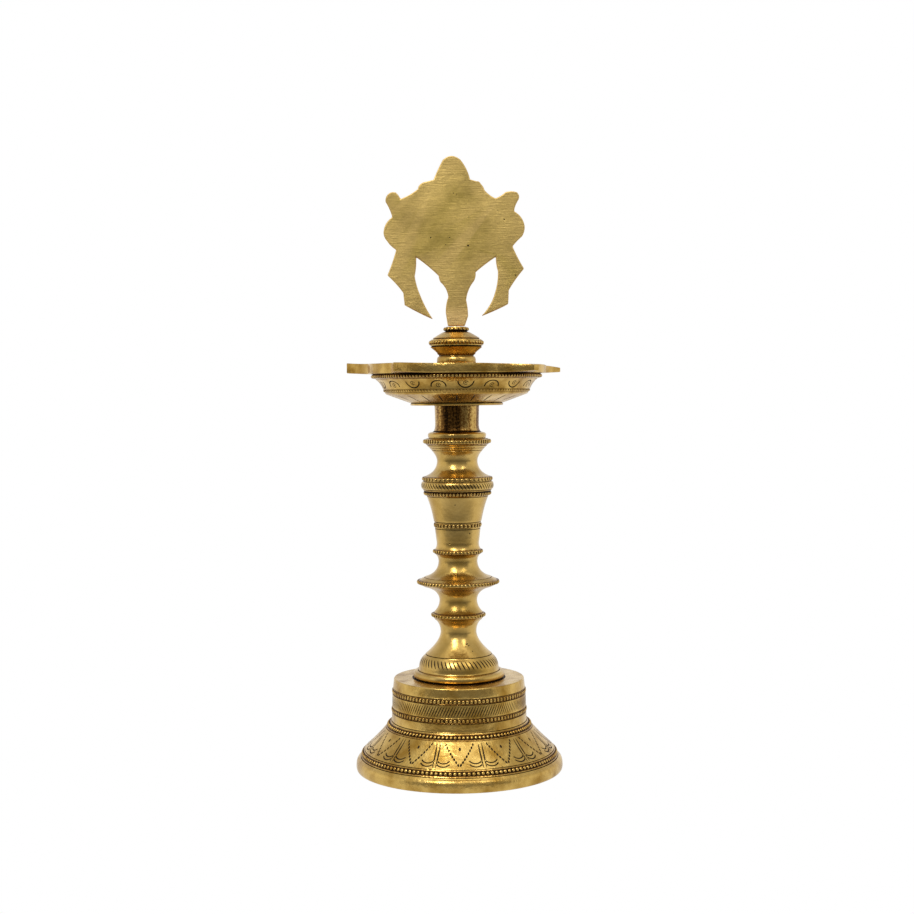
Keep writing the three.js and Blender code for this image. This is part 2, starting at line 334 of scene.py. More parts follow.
def add_node(tree, kind, inputs=None, **settings):
    """Adds a node with its settings; an input is a value or another node's output."""
    node = tree.nodes.new(kind)
    for name, value in settings.items():
        setattr(node, name, value)
    for name, value in (inputs or {}).items():
        if isinstance(value, bpy.types.NodeSocket):
            tree.links.new(value, node.inputs[name])
        else:
            node.inputs[name].default_value = value
    return node


def ramp(tree, factor, stops):
    """A colour ramp: the first two stops are its ends, and the others go between them."""
    node = add_node(tree, "ShaderNodeValToRGB", {"Fac": factor})
    elements = node.color_ramp.elements
    for element, (place, colour) in zip(elements, stops):
        element.position, element.color = place, colour
    for place, colour in stops[2:]:
        elements.new(place).color = colour
    return node.outputs["Color"]


def grey(value):
    return [value, value, value, 1]


# amber and black patina colours; on the dish's sleeve they also paint shade and a dark reflection
AMBER_PATINA_AND_SHADE = "#966a30"
BLACK_PATINA_AND_SHADE = "#2a1b0d"
# pale bare brass from wear, also used along the plate's edges as a painted highlight
PALE_BARE_AND_HIGHLIT_BRASS = "#ecc98a"
PIT_EDGE, PIT_FLOOR = 0.40, 0.345  # casting pits lie where two noises add up to less than this


def brass(name, bright, tarnished, rough, marks, mark_depth, cloud_size, hammering):
    """Brass in clouds of a bright and a tarnished colour, with fine tool marks, small casting pits,
    amber and then black patina where it is stained (on the dish's sleeve, painted shade and a painted
    dark reflection), and pale bare metal where wear shows it, which along the plate's edges is also a
    painted highlight.

    rough is the polish between the clouds; marks is how closely the tool marks lie along x, y and
    z, in marks per metre, and mark_depth how strongly they show; cloud_size is in metres;
    hammering is how uneven the face is.
    """
    material = bpy.data.materials.new(name)
    material.use_nodes = True
    tree = material.node_tree
    shader = tree.nodes["Principled BSDF"]
    shader.inputs["Metallic"].default_value = 1.0

    def noise(scale, detail, source=None):
        node = add_node(tree, "ShaderNodeTexNoise", {"Vector": source or place, "Scale": scale,
                                                     "Detail": detail, "Roughness": 0.6})
        return node.outputs["Fac"]

    def ranged(value, low, high, to_low=0.0, to_high=1.0):
        node = add_node(tree, "ShaderNodeMapRange", {"Value": value, "From Min": low, "From Max": high,
                                                     "To Min": to_low, "To Max": to_high})
        return node.outputs["Result"]

    def mixed(factor, first, second):
        return add_node(tree, "ShaderNodeMix", {"Factor": factor, "A": first, "B": second},
                        data_type="RGBA").outputs["Result"]

    def raised(height, strength, distance, normal=None):
        inputs = {"Height": height, "Strength": strength, "Distance": distance}
        if normal:
            inputs["Normal"] = normal
        return add_node(tree, "ShaderNodeBump", inputs).outputs["Normal"]

    place = add_node(tree, "ShaderNodeTexCoord").outputs["Object"]
    cloud = noise(1 / cloud_size, 5)
    face = mixed(ranged(cloud, 0.38, 0.66), linear(bright), linear(tarnished))
    # pale brass where the attribute says so: wear, and along the plate's edges a painted highlight too
    rubbed_and_highlit = add_node(tree, "ShaderNodeAttribute", attribute_name="rubbed_and_highlit").outputs["Fac"]
    face = mixed(rubbed_and_highlit, face, linear(PALE_BARE_AND_HIGHLIT_BRASS))
    # the stain attribute is patina, and on the dish's sleeve also painted shade and a painted dark
    # reflection
    stain = add_node(tree, "ShaderNodeAttribute", attribute_name="stain").outputs["Fac"]
    ragged = add_node(tree, "ShaderNodeMath", {0: noise(900, 3), 1: 0.9, 2: -0.28},
                      operation="MULTIPLY_ADD")
    patina = add_node(tree, "ShaderNodeMath", {0: stain, 1: ragged.outputs[0]}, operation="SUBTRACT")
    amber = mixed(ranged(patina.outputs[0], 0.0, 0.22), face, linear(AMBER_PATINA_AND_SHADE))
    black = ranged(patina.outputs[0], 0.12, 0.52)
    pits = add_node(tree, "ShaderNodeTexVoronoi", {"Vector": place, "Scale": 210}).outputs["Distance"]
    rare = add_node(tree, "ShaderNodeMath", {0: pits, 1: noise(60, 1)}, operation="ADD").outputs[0]
    pit = ranged(rare, PIT_EDGE, PIT_FLOOR)
    dark = add_node(tree, "ShaderNodeMath", {0: black, 1: pit}, operation="MAXIMUM").outputs[0]
    tree.links.new(mixed(dark, amber, linear(BLACK_PATINA_AND_SHADE)), shader.inputs["Base Color"])
    spread = ranged(cloud, 0.3, 0.7, rough - 0.05, rough + 0.09)
    roughness = add_node(tree, "ShaderNodeMix", {"Factor": dark, "A": spread, "B": 0.6},
                         data_type="FLOAT")
    tree.links.new(roughness.outputs["Result"], shader.inputs["Roughness"])
    squeezed = add_node(tree, "ShaderNodeMapping", {"Vector": place, "Scale": marks}).outputs["Vector"]
    normal = raised(noise(1, 3, squeezed), mark_depth, 0.0004)
    normal = raised(noise(130, 2), 0.16, 0.0015, normal)
    normal = raised(noise(420, 2), hammering, 0.0005, normal)
    normal = raised(ranged(rare, PIT_FLOOR, 0.42), 0.5, 0.0004, normal)
    tree.links.new(normal, shader.inputs["Normal"])
    return material


def cut_brass():
    """Burin cuts filled with old polish and lampblack: nearly black, with a little metal showing."""
    material = bpy.data.materials.new("blackened_chased_cut")
    material.use_nodes = True
    tree = material.node_tree
    shader = tree.nodes["Principled BSDF"]
    shader.inputs["Metallic"].default_value = 0.6
    shader.inputs["Roughness"].default_value = 0.62
    place = add_node(tree, "ShaderNodeTexCoord").outputs["Object"]
    cloud = add_node(tree, "ShaderNodeTexNoise", {"Vector": place, "Scale": 300, "Detail": 4})
    colour = ramp(tree, cloud.outputs["Fac"], [(0.35, linear("#170f06")), (0.75, linear("#4a3314"))])
    tree.links.new(colour, shader.inputs["Base Color"])
    return material


TURNING_MARKS = (60, 60, 2600)  # 0.4 mm apart up the piece, long round it
FILE_MARKS = (90, 90, 1900)  # 0.5 mm apart, running across the plate
CASTING_MARKS = (700, 700, 700)

# Turned and buffed: clear reflections, drawn out sideways by the lathe's fine lines.
polished_turned_brass = brass("polished_turned_brass", "#d4b167", "#b28e44", 0.22, TURNING_MARKS, 0.10,
                              0.020, 0.10)
# Cast, then turned and chased: the same polish over a face that the punches left uneven.
polished_cast_brass = brass("polished_cast_brass", "#d4b062", "#a47d34", 0.24, TURNING_MARKS, 0.10,
                            0.012, 0.45)
# Cast flat and drawn over with a file: a soft sheen, broken by short lines across the plate.
filed_cast_brass = brass("filed_cast_brass", "#d7ba6b", "#9d8844", 0.52, FILE_MARKS, 0.40, 0.030, 0.20)
# Cut with a die and left: duller, with no polish.
raw_screw_brass = brass("raw_screw_brass", "#c9a95e", "#a5853f", 0.36, CASTING_MARKS, 0.1, 0.01, 0.1)
blackened_cut = cut_brass()


def finished(piece, material, body, node):
    """Gives a piece its material and its body, and hides the CAD node that it stands for. Cuts stay dark.
    """
    slots = piece.data.materials
    if not slots:
        slots.append(material)
    for i in range(len(slots)):
        if slots[i] != blackened_cut:
            slots[i] = material
    pick(piece)
    bpy.ops.object.shade_smooth_by_angle(angle=SMOOTH_BELOW)
    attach(piece, body)
    if node:
        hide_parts(node)


# ------------------------------------------------------------------ foot
DRUM_TOP = 56.4
PILLAR_HOLE = 5.3
SEAT_AIR = 0.05  # between two pieces that rest on each other
PANELS = 12
DASHES = 8  # in each arm of a panel's V


def foot_outline():
    line = Outline(PILLAR_HOLE, 41.4).to(10.6, 41.4).sweep(11.2, 42, 11.2, 41.4, steps=3)
    line.to(11.4, 52).sweep(12.4, 52.9, 11.6, 52.9, steps=3).to(35.6, 52.9)
    line.sweep(36.7, 51.6, 36.6, 52.9, steps=4).to(38, 30).sweep(55, 10, 47, 20).to(60, 6)
    line.to(60.6, 0.4).to(61, 0).to(62.8, 0)
    line.sweep(64.1, 2.8, 64.1, 0.2).sweep(62.2, 7.6, 64.1, 7.0, steps=8)
    line.to(61.9, 7.9).groove(61.3, 8.5, 0.6, 0.45)
    line.to(60.9, 9.0).sweep(59.4, 12.2, 60.0, 10.4, steps=4).groove(59.0, 12.7, 0.5, 0.35, 0.8)
    line.stain(60.1, 10.6, 2.2, 0.95)
    line.to(58.7, 13.1).sweep(46.0, 25.9, 52.1, 18.9, steps=26)
    line.groove(45.6, 26.3, 0.5, 0.3, 0.6).sweep(42.6, 29.9, 44.0, 27.6, steps=4)
    line.stain(44.0, 28.2, 2.4, 0.9)
    line.groove(42.2, 30.4, 0.5, 0.4).to(41.9, 30.9).to(41.8, 35.0)
    line.groove(41.76, 35.6, 0.45, 0.3, 0.9).to(41.6, 36.0).to(41.55, 38.3)
    line.groove(41.66, 38.8, 0.45, 0.3)
    line.stain(41.6, 37.2, 1.9, 0.72)
    line.to(41.6, 39.2).to(41.5, 46.4).groove(41.4, 46.9, 0.45, 0.3)
    line.to(41.2, 47.3).to(41.1, 49.7).groove(41.1, 50.3, 0.45, 0.3, 0.9)
    line.stain(41.2, 48.5, 2.0, 0.72)
    line.to(41.0, 50.7).to(40.5, 55.6).sweep(39.7, DRUM_TOP, 40.4, DRUM_TOP, steps=4)
    line.to(29.4, DRUM_TOP).to(28.6, DRUM_TOP).stain(28.2, DRUM_TOP, 0.9, 1)
    return line.to(PILLAR_HOLE, DRUM_TOP).close()


def panel_stamps(line):
    """One panel of the bell: two upright lines, a dashed V, a dot, and nested arcs in the corners."""
    middle = (52.6, 20.0)
    panel = 360 / PANELS
    cuts = []

    def press(stamp, turn=0.0):
        cuts.append(round_the_lamp(line.wrap(stamp, *middle, turn), PANELS))

    for side in (-1, 1):
        press(gouge(17.4, 0.95, 0.6, lean=side * 1.4, at=(side * 1.0, -0.2)), turn=-panel / 2)
        for dash in range(DASHES):
            share = dash / (DASHES - 1)
            place = (side * (0.75 + 8.2 * share), 13.6 * share - 6.4)
            press(gouge(2.05, 1.15, 0.65, lean=side * 14, at=place))
        for nest in (0, 1):
            press(arc_cut(4.4, 214, 326, 0.95, 0.5, at=(side * 9.2, -1.1 - 2.3 * nest)))
    press(gouge(2.3, 1.5, 0.6, at=(0.2, 4.4)))
    return cuts


def make_foot():
    line = foot_outline()
    foot = turned("base_casting_body", line, 256)
    cuts = panel_stamps(line)
    cuts.append(stroke_row(line, 41.55, 42.9, 150, 7.6, 26, 0.62, 0.4))
    chase(foot, cuts)
    write_stain_and_shade(foot, ring_stain(foot, line))
    finished(foot, polished_cast_brass, "foot", "base_casting")
    rows = joined("base_casting_beads", [
        bead_row(line, 60.1, 10.6, 136, 2.45, 2.3, 0.85, lean=24),
        bead_row(line, 44.1, 28.1, 112, 2.1, 2.5, 0.95, lean=20),
        bead_row(line, 41.6, 37.2, 104, 2.15, 2.5, 0.6, lean=14),
        bead_row(line, 41.2, 48.6, 104, 2.15, 2.7, 0.6, lean=14),
    ])
    finished(rows, polished_cast_brass, "foot", None)


# ------------------------------------------------------------------ pillar
PILLAR_SPLIT = 172.3
COLLAR_TOP = 209.3


def lower_outline():
    seat = DRUM_TOP + SEAT_AIR
    line = Outline(0, 69.4).to(PILLAR_HOLE, 69.4).to(PILLAR_HOLE, seat).to(26.6, seat)
    line.sweep(28.3, 58.6, 28.3, seat, steps=6).sweep(25.9, 61.0, 28.3, 61.0, steps=6)
    line.stain(27.2, 56.6, 1.3, 1).groove(25.4, 61.3, 0.6, 0.5).to(24.8, 62.0)
    line.sweep(21.0, 70.4, 24.9, 67.4, steps=14).groove(20.6, 71.0, 0.5, 0.32)
    line.sweep(11.15, 84.7, 11.6, 78.6, steps=20).sweep(14.7, 92.6, 11.15, 90.0, steps=12)
    line.sweep(16.2, 94.3, 15.4, 93.7, steps=3).ring(16.0, 96.3, 16.5, steps=4)
    line.stain(15.9, 94.0, 0.7, 0.4).stain(15.6, 96.7, 0.8, 0.6)
    line.sweep(11.7, 104.6, 11.7, 99.8, steps=14).sweep(21.6, 113.3, 12.1, 110.9, steps=14)
    line.sweep(24.6, 114.8, 23.2, 114.2, steps=3).ring(24.4, 117.0, 25.0, steps=4)
    line.stain(24.3, 114.7, 0.7, 0.5).stain(24.2, 117.3, 0.7, 0.6)
    line.to(21.6, 118.4).groove(20.9, 118.75, 0.45, 0.28, 0.9)
    line.sweep(12.1, 128.4, 12.5, 121.2, steps=18).sweep(13.9, 132.9, 12.1, 131.5, steps=8)
    line.to(14.7, 133.7).ring(14.5, 135.9, 15.0, steps=4).stain(14.5, 133.7, 0.7, 0.6)
    line.stain(14.4, 136.2, 0.7, 0.6).to(13.7, 137.0)
    line.sweep(13.3, 141.5, 12.8, 139.0, steps=8).to(14.15, 148.4)
    line.groove(14.2, 149.0, 0.45, 0.3).to(14.25, 149.6).to(14.5, 152.6).groove(14.6, 153.2, 0.45, 0.3)
    line.stain(14.4, 151.2, 1.7, 0.6)
    line.to(14.9, 153.8).sweep(18.9, 168.4, 16.4, 162.2, steps=16)
    line.groove(19.2, 169.1, 0.5, 0.4).to(19.6, 169.6).sweep(20.7, 171.9, 20.5, 170.4, steps=4)
    line.stain(20.0, 170.6, 1.5, 0.6)
    line.to(20.9, PILLAR_SPLIT).stain(20.9, PILLAR_SPLIT, 0.8, 1).to(PILLAR_HOLE, PILLAR_SPLIT)
    return line.to(PILLAR_HOLE, 159.3).to(0, 159.3)


# Where the casting was porous: degrees from -Y towards +X, radius, height and size.
PILLAR_PITS = ((22, 12.9, 78.4, 1.3), (26, 13.3, 77.2, 0.9), (17, 13.6, 76.6, 0.7), (30, 16.2, 74.0, 0.8),
               (32, 14.0, 146.6, 1.0), (-5, 17.6, 164.6, 0.8), (150, 13.2, 78.0, 1.0),
               (205, 17.2, 163.0, 0.8), (262, 12.4, 125.0, 0.9), (118, 13.8, 144.0, 0.7))


def pit_cuts(line, pits):
    return [line.wrap(gouge(size, size * 0.8, 0.4, lean=40), r, z, turn) for turn, r, z, size in pits]


def make_lower_pillar():
    line = lower_outline()
    pillar = turned("lower_pillar_body", line, 176)
    strokes = stroke_row(line, 23.7, 67.3, 56, 6.2, -26, 0.9, 0.5)
    chase(pillar, [strokes] + pit_cuts(line, PILLAR_PITS))
    write_stain_and_shade(pillar, ring_stain(pillar, line))
    finished(pillar, polished_turned_brass, "lower_column", "lower_pillar")
    rows = joined("lower_pillar_beads", [
        bead_row(line, 16.4, 95.3, 44, 1.7, 1.9, 0.6),
        bead_row(line, 24.9, 115.9, 68, 1.75, 2.1, 0.8),
        bead_row(line, 14.9, 134.8, 42, 1.75, 2.1, 0.75),
        bead_row(line, 14.4, 151.2, 36, 2.0, 2.6, 0.6),
        bead_row(line, 20.4, 170.9, 60, 1.75, 2.2, 0.75, lean=24),
    ])
    finished(rows, polished_turned_brass, "lower_column", None)


def upper_outline():
    seat = PILLAR_SPLIT + SEAT_AIR
    line = Outline(0, 185.3).to(PILLAR_HOLE, 185.3).to(PILLAR_HOLE, seat).to(20.9, seat)
    line.stain(20.9, seat, 0.8, 1).to(21.3, 173.0).groove(21.4, 173.35, 0.4, 0.3, 0.8)
    line.ring(21.5, 178.3, 22.6, steps=12).groove(21.4, 178.6, 0.4, 0.3, 0.9)
    line.ring(20.2, 181.5, 21.5, steps=6).stain(20.6, 181.4, 0.7, 0.5)
    line.sweep(12.6, 190.8, 12.9, 184.2, steps=20).sweep(15.6, 197.2, 12.6, 194.0, steps=10)
    line.groove(15.9, 197.6, 0.5, 0.3, 0.8).to(17.1, 199.0).groove(17.3, 199.2, 0.5, 0.3, 0.8)
    line.to(18.6, 200.4).groove(18.8, 200.7, 0.5, 0.35)
    line.to(19.7, 201.7).ring(19.1, 204.9, 20.6, steps=6).stain(19.5, 201.8, 0.8, 0.6)
    line.stain(19.0, 204.8, 0.9, 0.9).to(18.2, 205.1).groove(17.9, 205.3, 0.3, 0.3)
    line.ring(15.2, 209.0, 18.2, steps=12).to(14.9, COLLAR_TOP).stain(14.9, COLLAR_TOP, 0.7, 1)
    return line.to(PILLAR_HOLE, COLLAR_TOP).to(PILLAR_HOLE, 196.3).to(0, 196.3)


def make_upper_pillar():
    line = upper_outline()
    pillar = turned("upper_pillar_body", line, 176)
    chase(pillar, [stroke_row(line, 22.6, 175.9, 64, 4.6, -34, 0.72, 0.45)])
    write_stain_and_shade(pillar, ring_stain(pillar, line))
    finished(pillar, polished_turned_brass, "upper_column", "upper_pillar")
    rows = joined("upper_pillar_beads", [
        bead_row(line, 21.6, 180.0, 46, 2.5, 2.2, 0.65, lean=38),
        bead_row(line, 20.6, 203.2, 60, 1.75, 2.6, 0.75, lean=10),
    ])
    finished(rows, polished_turned_brass, "upper_column", None)


# ------------------------------------------------------------------ screws
THREAD_DEPTH = 0.54  # of the pitch
THREAD_INSET = 0.4  # from each end of the stud to its thread
STUD_CHAMFER = 0.5


def make_screw(name, radius, pitch, low, high, body, node):
    """A threaded stud: a turned core with one helical ridge wound round it."""
    root = radius - THREAD_DEPTH * pitch
    core = Outline(0, low).to(root - STUD_CHAMFER, low).to(root, low + STUD_CHAMFER)
    core.to(root, high - STUD_CHAMFER).to(root - STUD_CHAMFER, high).to(0, high)
    stud = turned(name, core, 32)
    start, sunk = low + THREAD_INSET, root - 0.1  # the ridge stands a little way inside the core
    chain([(sunk, 0, start), (radius, 0, start + pitch * 0.42),
           (radius, 0, start + pitch * 0.54), (sunk, 0, start + pitch * 0.96)])
    bpy.ops.mesh.select_all(action="SELECT")
    bpy.ops.mesh.edge_face_add()
    bpy.ops.object.mode_set(mode="OBJECT")
    bpy.ops.object.transform_apply(location=True, rotation=True, scale=True)
    ridge = bpy.context.object
    turns = int((high - low - 2 * THREAD_INSET) / pitch) - 1
    finish_modifier(ridge, "SCREW", steps=24, render_steps=24, iterations=turns,
                    screw_offset=pitch * MM, use_merge_vertices=False)
    pick(ridge)
    bpy.ops.object.mode_set(mode="EDIT")
    ridge = settle("ridge")
    stud = joined(name, [stud, ridge])
    write_stain_and_shade(stud, np.zeros(len(stud.data.vertices)))
    finished(stud, raw_screw_brass, body, node)


def make_screws():
    for name, radius, pitch, body, node in (
        ("pillar_stud_thread", 5, 1.5, "pillar_screw", "pillar_stud"),
        ("middle_stud_thread", 5, 1.5, "joining_screw", "middle_stud"),
        ("dish_stud_thread", 5, 1.5, "dish_screw", "dish_stud"),
        ("finial_stud_thread", 3, 1.0, "finial_screw", "finial_stud"),
    ):
        low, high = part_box(node)
        make_screw(name, radius, pitch, low[2] / MM, high[2] / MM, body, node)


# ------------------------------------------------------------------ dish
DISH_BOTTOM = 225.6
RIM_BOTTOM = 245.3
RIM_TOP = 251.0
BEAK_FLOOR = 247.4
BOSS_TOP = 250.0
BEAK_ANGLES = (-102, -30, 42, 114, 186)
BEAK_REACH = (70.5, 70.5, 70.5, 72, 68.4)
BEAK_LIFT = (0.8, 0.0, -0.7, -1.5, -0.3)  # of the top edge at each tip: filed by eye
BEAK_HALF_WIDTH = 1.9
CREASE_ANGLE = 15.5
CREASE_RADIUS = 55
RIM_MARK = 60  # rim stations are drawn at this radius less their inset
RIM_START = 54  # the dish's side lies inside this radius, and every rim station outside it
HALF_SECTOR = 180 / len(BEAK_ANGLES)


def dish_outline():
    line = Outline(0, 232.6).to(PILLAR_HOLE, 232.6).to(PILLAR_HOLE, DISH_BOTTOM)
    line.to(28.2, DISH_BOTTOM).sweep(28.9, 226.5, 28.9, DISH_BOTTOM, steps=4)
    line.groove(28.9, 227.0, 0.5, 0.5).to(29.4, 227.3).to(43.4, 232.4)
    line.sweep(44.5, 233.3, 44.2, 232.7, steps=3).groove(44.8, 233.7, 0.35, 0.25, 0.7)
    line.to(45.1, 234.1).to(45.6, 235.3).groove(45.7, 235.5, 0.35, 0.22, 0.6)
    line.sweep(50.1, 241.7, 46.8, 239, steps=14).groove(50.5, 242.0, 0.45, 0.35)
    line.to(51.9, 242.4).sweep(52.9, 243.6, 52.8, 242.5, steps=4)
    line.sweep(52.5, 244.9, 52.9, 244.7, steps=4)
    line.stain(52.6, 243.6, 1.6, 0.62).stain(52.2, 245.2, 0.9, 1)
    line.to(52.1, RIM_BOTTOM)
    for inset, z in ((1.4, RIM_BOTTOM), (0.3, RIM_BOTTOM + 0.08), (0.0, RIM_BOTTOM + 0.5),
                     (0.0, RIM_BOTTOM + 2.6), (0.0, RIM_TOP - 0.4), (0.1, RIM_TOP - 0.12),
                     (0.4, RIM_TOP), (1.8, RIM_TOP), (2.1, RIM_TOP - 0.12), (2.2, RIM_TOP - 0.4),
                     (2.2, BEAK_FLOOR + 1.6), (2.3, BEAK_FLOOR + 0.5), (3.0, BEAK_FLOOR)):
        line.to(RIM_MARK - inset, z)
    line.to(50.2, BEAK_FLOOR).sweep(49.4, 246.6, 49.6, BEAK_FLOOR, steps=4)
    line.sweep(41.2, 234.9, 44.6, 239.6, steps=12).sweep(29, 230, 37, 230.6, steps=8)
    line.to(15, 229.8).sweep(11.1, 234, 11.2, 229.9, steps=8).to(11, 249.2)
    line.sweep(10.3, BOSS_TOP, 11, BOSS_TOP, steps=4).to(3.3, BOSS_TOP).to(3.3, 237.4)
    return line.to(0, 237.4)


def rim_radius(degrees, inset, reach):
    """The rim's radius at an angle from a beak's middle line, for a rim moved in by inset."""
    crease = CREASE_RADIUS - inset
    tip_half = max(BEAK_HALF_WIDTH - inset * 0.4, 0.9)
    throat = max(6 - inset, 3)
    t = np.linspace(0, 1, 60)  # along each of the three curves

    def curve(start, pull, end):
        return np.outer((1 - t) ** 2, start) + np.outer(2 * t * (1 - t), pull) + np.outer(t * t, end)

    def polar(radius, angle):
        turn = math.radians(angle)
        return np.array([radius * math.cos(turn), radius * math.sin(turn)])

    tip = np.array([reach - inset, tip_half])
    end = np.stack([np.full(len(t), reach - inset), t * tip_half], 1)
    flank = curve(tip, np.array([crease + 5, throat]), polar(crease, CREASE_ANGLE))
    lobe = curve(polar(crease, CREASE_ANGLE), polar(crease + 1.4, (CREASE_ANGLE + HALF_SECTOR) / 2),
                 polar(crease + 1, HALF_SECTOR))
    whole = np.concatenate([end, flank[1:], lobe[1:]])
    angles = np.degrees(np.arctan2(whole[:, 1], whole[:, 0]))
    return np.interp(np.abs(degrees), angles, np.hypot(whole[:, 0], whole[:, 1]))


def pull_beaks(dish):
    """Draws the round rim out to the five beaks, whose top edges were filed by hand."""
    x, y, z = (vertices_of(dish) / MM).T
    r = np.hypot(x, y)
    angle = np.degrees(np.arctan2(x, -y))
    rim = r > RIM_START
    inset = np.round(RIM_MARK - r, 3)
    far = r.copy()
    lift = np.zeros(len(r))
    for middle, reach, tip_lift in zip(BEAK_ANGLES, BEAK_REACH, BEAK_LIFT):
        off = (angle - middle + 180) % 360 - 180
        mine = rim & (np.abs(off) <= HALF_SECTOR + 0.0001)
        for step_in in np.unique(inset[rim]):
            station = mine & (inset == step_in)
            far[station] = rim_radius(off[station], step_in, reach)
        out = np.clip((far - CREASE_RADIUS) / (reach - CREASE_RADIUS), 0, 1)
        high = (z - RIM_BOTTOM) / (RIM_TOP - RIM_BOTTOM)
        lift[mine] = (0.8 * (1 - high) * out + tip_lift * high * out ** 1.5)[mine]
    filed = np.where(z > RIM_TOP - 1, -0.012 * x + 0.12 * np.sin(np.radians(angle * 7)), 0)
    z = z + np.where(rim, lift + filed, 0)
    scale = far / np.maximum(r, 1e-9)
    place_vertices(dish, np.stack([x * scale, y * scale, z], 1) * MM)


def frieze_stamps(line):
    """Arcs that open up and down in turn round the dish's side, each with a ringed dot."""
    pairs, place = 9, (47.5, 238.6)
    cuts = []

    def press(stamp, turn):
        cuts.append(round_the_lamp(line.wrap(stamp, *place, turn), pairs))

    for start, low, high, lift in ((6.6, 180, 360, 1.9), (26.6, 0, 180, -1.9)):
        press(arc_cut(4.7, low, high, 0.95, 0.55, at=(0, lift), squash=0.95), start)
        press(arc_cut(1.3, 0, 320, 0.5, 0.4, at=(0, lift * 0.4)), start)
        press(gouge(1.0, 0.9, 0.45, at=(0, lift * 0.4)), start)
    cuts.append(stroke_row(line, 36.8, 230.0, 24, 12.0, 0, 0.9, 0.55))
    return cuts


def make_dish():
    line = dish_outline()
    dish = turned("dish_body", line, 720, longest=9)
    pull_beaks(dish)
    chase(dish, frieze_stamps(line))
    write_stain_and_shade(dish, ring_stain(dish, line))
    finished(dish, polished_cast_brass, "dish_body", "dish")
    rows = joined("dish_beads", [
        bead_row(line, 52.8, 243.6, 150, 2.0, 1.8, 0.45, lean=30),
        bead_row(line, 45.4, 234.7, 140, 1.5, 1.1, 0.35, lean=30),
    ])
    finished(rows, polished_cast_brass, "dish_body", None)


def make_socket():
    """The plain sleeve under the dish, darkened in streaks with painted shade from the dish above and a
    painted dark reflection, darkest near the front and a third of a turn either side of it.
    """
    low, high = COLLAR_TOP + SEAT_AIR, DISH_BOTTOM + 0.1
    sleeve = Outline(PILLAR_HOLE, low).to(14.7, low).stain(14.8, low, 0.8, 1)
    sleeve.sweep(13.6, 213.4, 13.7, 210.6, steps=10).to(13.6, 215).to(13.85, 224.6)
    sleeve.sweep(14.3, high, 13.9, high - 0.2, steps=4).stain(14.2, high, 0.9, 1)
    sleeve.to(PILLAR_HOLE, high).close()
    socket = turned("dish_socket_body", sleeve, 128)
    x, y, _ = vertices_of(socket).T
    angle = np.arctan2(x, -y)
    streaks = 0.5 * np.sin(11 * angle + 1.2) + 0.3 * np.sin(23 * angle) + 0.2 * np.sin(41 * angle + 2)
    # painted shade under the dish and a painted dark reflection, darkest near the front, broken into
    # streaks
    painted_shade_and_reflection = 0.43 + 0.20 * np.cos(3 * angle + 0.9) + 0.16 * streaks
    write_stain_and_shade(socket, np.maximum(ring_stain(socket, sleeve), painted_shade_and_reflection))
    finished(socket, polished_turned_brass, "dish_body", "dish_socket")


# ------------------------------------------------------------------ finial
KNOB_TOP = 274.4
PLATE_THICKNESS = 3.6


def knob_outline():
    seat = BOSS_TOP + SEAT_AIR
    line = Outline(0, 262).to(3.3, 262).to(3.3, seat).to(11.2, seat)
    line.ring(11.0, 256.0, 12.2, steps=12).groove(10.9, 256.4, 0.4, 0.3, 0.8)
    line.sweep(16.2, 261.7, 11.6, 258.4, steps=10).stain(11.0, 257.2, 1.6, 0.5)
    line.groove(16.3, 262.2, 1.0, 0.8).ring(15.2, 266.6, 16.4, steps=10).groove(14.9, 267.0, 0.9, 0.7)
    line.sweep(8.6, 270.9, 11.6, 269.3, steps=10).sweep(6.6, 271.7, 7.0, 271.4, steps=4)
    line.stain(7.4, 271.4, 1.3, 1).ring(6.4, KNOB_TOP - 0.4, 7.3, steps=6).stain(6.9, 272.8, 1.4, 0.6)
    return line.to(6.2, KNOB_TOP).to(0, KNOB_TOP)


ARC_STEPS = 6

# The plate's outline, seen from its flat face: each corner is (x, z, bulge of the edge to it).
PLATE_OUTLINE = (
    (-7.6, 378.4, 0.2), (3.4, 378.6, 2.4), (9.4, 366.2, 0.8),  # crest
    (13.4, 365, 0), (16, 363.4, 0.6), (18.4, 359.4, 0.3), (25.1, 354.3, -0.5),  # right shoulder
    (31.2, 358, -0.4), (38.4, 358, 0.6), (39, 352.6, 1.2), (36.7, 346.1, -0.4),  # right flame
    (43.2, 336.8, 1.4), (41.6, 330.6, 0.5), (35.5, 324.3, -0.2),  # right lobe
    (42.6, 310.3, -0.3), (33, 297, -0.4), (32.6, 288.4, 0), (15.8, 281, 0.3),  # right ribbon
    (24.6, 296.4, -1.2), (26.3, 309, -0.5), (25.1, 317.9, 0.4),  # its inner edge
    (12.4, 308.4, -0.3), (11.4, 303, 0.4), (6.4, 291, -1), (7.5, 281, 0.3), (5.4, 274.9, 0),  # stem
    (-5.2, 274.9, 0), (-6.4, 283, 0), (-4.8, 293.1, 0.5), (-9.5, 302.3, -1), (-10.6, 306.2, 0.3),
    (-24.6, 318, -0.4),  # left of the stem
    (-25.6, 306.2, 0.4), (-22.2, 294.3, -0.4), (-14.4, 279.2, -0.5),  # left ribbon's inner edge
    (-32, 288.2, 0.3), (-32.8, 295.8, 0), (-42.6, 306.8, -0.4), (-37, 322.7, -0.3),  # left ribbon
    (-42.8, 328.4, 0.5), (-44.8, 333.8, 0.6), (-39.3, 343, 1.3),  # left lobe
    (-43.4, 352.6, -0.4), (-40.6, 358.2, 1), (-37, 358.4, 0.3), (-34, 354.3, 0.3),  # left flame
    (-23.2, 360.4, -0.5), (-21.4, 363.6, 0.4), (-17.8, 365, 0.3), (-13.4, 366.1, 0),
)


